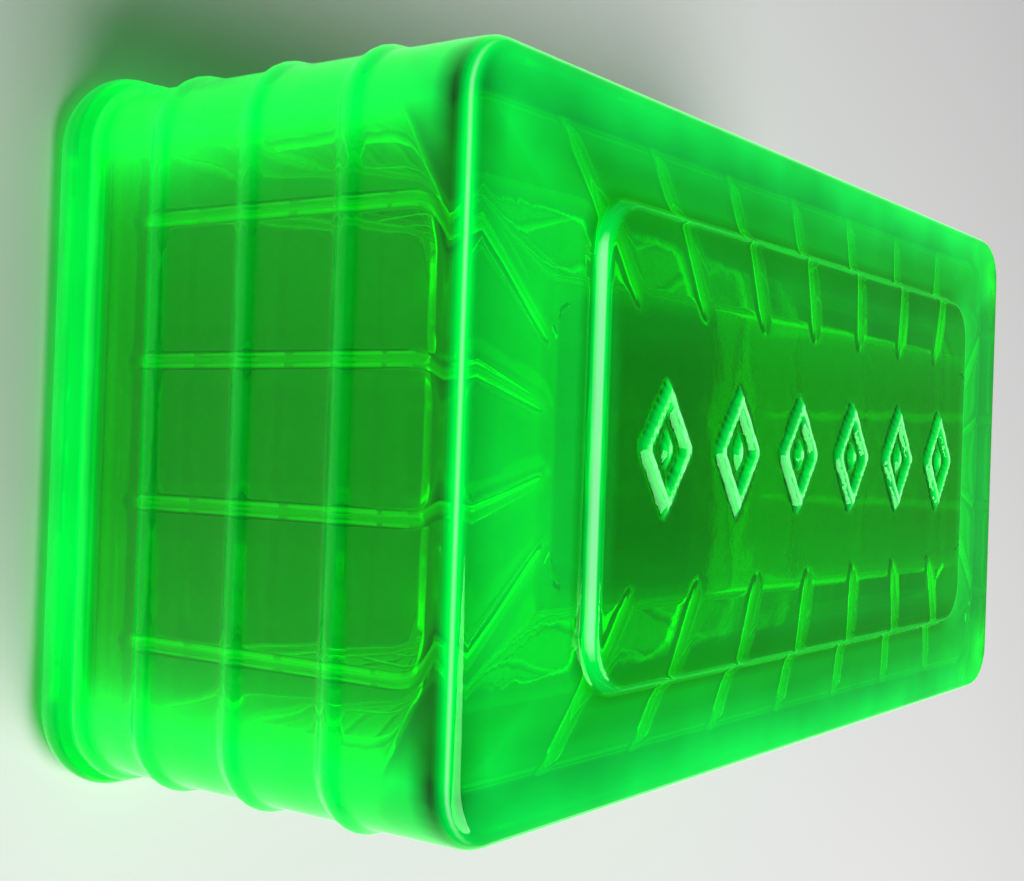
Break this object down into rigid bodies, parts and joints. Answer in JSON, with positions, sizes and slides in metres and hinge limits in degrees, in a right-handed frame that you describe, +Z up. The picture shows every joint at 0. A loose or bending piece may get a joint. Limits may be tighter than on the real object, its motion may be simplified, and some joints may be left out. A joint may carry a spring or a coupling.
{
  "type": "covered glass butter dish",
  "caption": "Oblong pressed green glass dish: a shallow tray with a tall box-shaped cover that lifts straight off, ribbed sides and a raised panel on top.",
  "frame": {"origin": "middle of the tray's underside, where it stands on the table", "axes": "+X along the length, +Y across, +Z up through the top of the cover"},
  "size_m": [0.1784, 0.0954, 0.0712],
  "materials": {
    "tray_glass": "glossy pressed green uranium glass, clear",
    "cover_glass": "glossy pressed green uranium glass, clear"
  },
  "bodies": {
    "tray": {"base_tray": "tray_glass"},
    "lid": {"cover": "cover_glass"}
  },
  "joints": [
    {"name": "cover_lift", "type": "slide", "parent": "tray", "child": "lid", "axis": [0, 0, 1], "range_m": [0, 0.08]}
  ]
}
